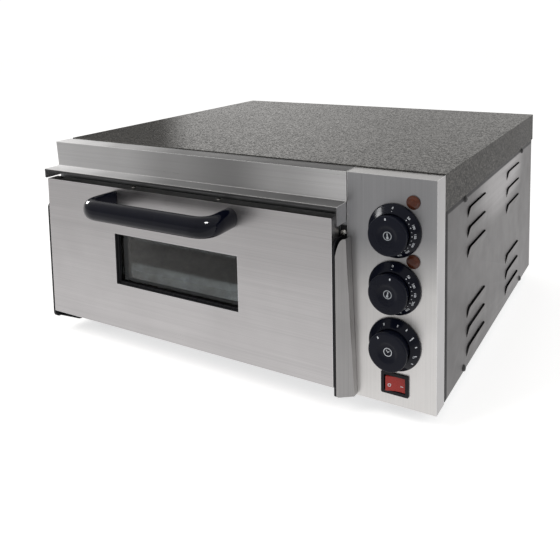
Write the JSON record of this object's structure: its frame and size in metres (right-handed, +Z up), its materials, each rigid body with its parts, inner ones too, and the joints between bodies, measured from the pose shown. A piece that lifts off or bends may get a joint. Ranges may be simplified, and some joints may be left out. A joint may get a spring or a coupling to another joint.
{
  "type": "deck oven",
  "caption": "Countertop electric deck oven with a drop-down windowed door, black bar handle, dial controls on a right-hand panel and louvred sides.",
  "frame": {"origin": "middle of the footprint, on the plane the feet stand on", "axes": "+Z up, -Y towards the user (the door side), +X to the user's right (the control panel side)"},
  "size_m": [0.5678, 0.632, 0.2794],
  "materials": {
    "brushed_stainless": "brushed, satin",
    "side_steel": "brushed, satin",
    "textured_cover": "fine hammered grey",
    "galvanised": "mill finish",
    "liner_steel": "heat-dulled",
    "black_steel": "satin black",
    "gloss_black": "moulded, glossy",
    "matte_black": "moulded",
    "rubber": "moulded",
    "zinc_screw": "zinc plated",
    "dark_screw": "blackened",
    "element_steel": "oxidised tube",
    "stone": "cordierite",
    "wool": "mineral wool",
    "ivory_plastic": "moulded",
    "brass_tube": "drawn tube",
    "amber_lens": "translucent lens",
    "red_plastic": "translucent rocker",
    "window_glass": "dark tempered glass"
  },
  "bodies": {
    "case": {"base_pan": "galvanised", "foot_front_left": "rubber", "foot_front_right": "rubber", "foot_rear_left": "rubber", "foot_rear_right": "rubber", "left_side_panel": "side_steel", "right_side_panel": "side_steel", "back_panel": "galvanised", "top_cover": "textured_cover", "front_hood": "brushed_stainless", "control_panel": "brushed_stainless", "front_frame": "galvanised", "hinge_plate_left": "black_steel", "hinge_plate_right": "black_steel", "hinge_guard": "brushed_stainless", "hinge_plate_screw": "zinc_screw", "hinge_pin_left": "zinc_screw", "hinge_pin_right": "zinc_screw", "chamber_liner": "liner_steel", "baking_stone": "stone", "element_upper": "element_steel", "element_lower": "element_steel", "insulation_lower": "wool", "insulation_upper": "wool", "compartment_divider": "galvanised", "thermostat_upper": "ivory_plastic", "thermostat_lower": "ivory_plastic", "timer_body": "ivory_plastic", "thermostat_bulb_upper": "brass_tube", "thermostat_bulb_lower": "brass_tube", "terminal_block": "ivory_plastic", "cable_gland": "matte_black", "power_cord": "rubber", "dial_upper_heat": "gloss_black", "dial_lower_heat": "gloss_black", "dial_timer": "gloss_black", "pilot_lamp_upper": "amber_lens", "pilot_lamp_lower": "amber_lens", "switch_housing": "matte_black", "side_screw_right_front_low": "dark_screw", "side_screw_right_front_high": "dark_screw", "side_screw_right_rear_low": "dark_screw", "side_screw_right_rear_high": "dark_screw", "side_screw_left_front_low": "dark_screw", "side_screw_left_front_high": "dark_screw", "side_screw_left_rear_low": "dark_screw", "side_screw_left_rear_high": "dark_screw"},
    "door": {"door_skin": "brushed_stainless", "door_inner_panel": "galvanised", "window_trim": "black_steel", "door_glass": "window_glass", "door_handle": "gloss_black", "handle_screw_left": "zinc_screw", "handle_screw_right": "zinc_screw", "door_top_screw_left": "zinc_screw", "door_top_screw_right": "zinc_screw"},
    "upper_knob": {"knob_upper_heat": "gloss_black"},
    "lower_knob": {"knob_lower_heat": "gloss_black"},
    "timer_knob": {"knob_timer": "gloss_black"},
    "rocker": {"switch_rocker": "red_plastic"}
  },
  "joints": [
    {"name": "door_hinge", "type": "hinge", "parent": "case", "child": "door", "pos_m": [-0.0556, -0.2463, 0.039], "axis": [1, 0, 0], "range_deg": [0, 78], "stiffness_Nm_per_rad": 2, "springref_deg": -34.38},
    {"name": "upper_heat_dial", "type": "hinge", "parent": "case", "child": "upper_knob", "pos_m": [0.233, -0.2453, 0.2185], "axis": [0, 1, 0], "range_deg": [0, 300]},
    {"name": "lower_heat_dial", "type": "hinge", "parent": "case", "child": "lower_knob", "pos_m": [0.233, -0.2453, 0.1545], "axis": [0, 1, 0], "range_deg": [0, 290]},
    {"name": "timer_dial", "type": "hinge", "parent": "case", "child": "timer_knob", "pos_m": [0.233, -0.2453, 0.0905], "axis": [0, 1, 0], "range_deg": [0, 330]},
    {"name": "power_rocker", "type": "hinge", "parent": "case", "child": "rocker", "pos_m": [0.2332, -0.2303, 0.0445], "axis": [0, 0, 1], "range_deg": [-20, 0]}
  ]
}
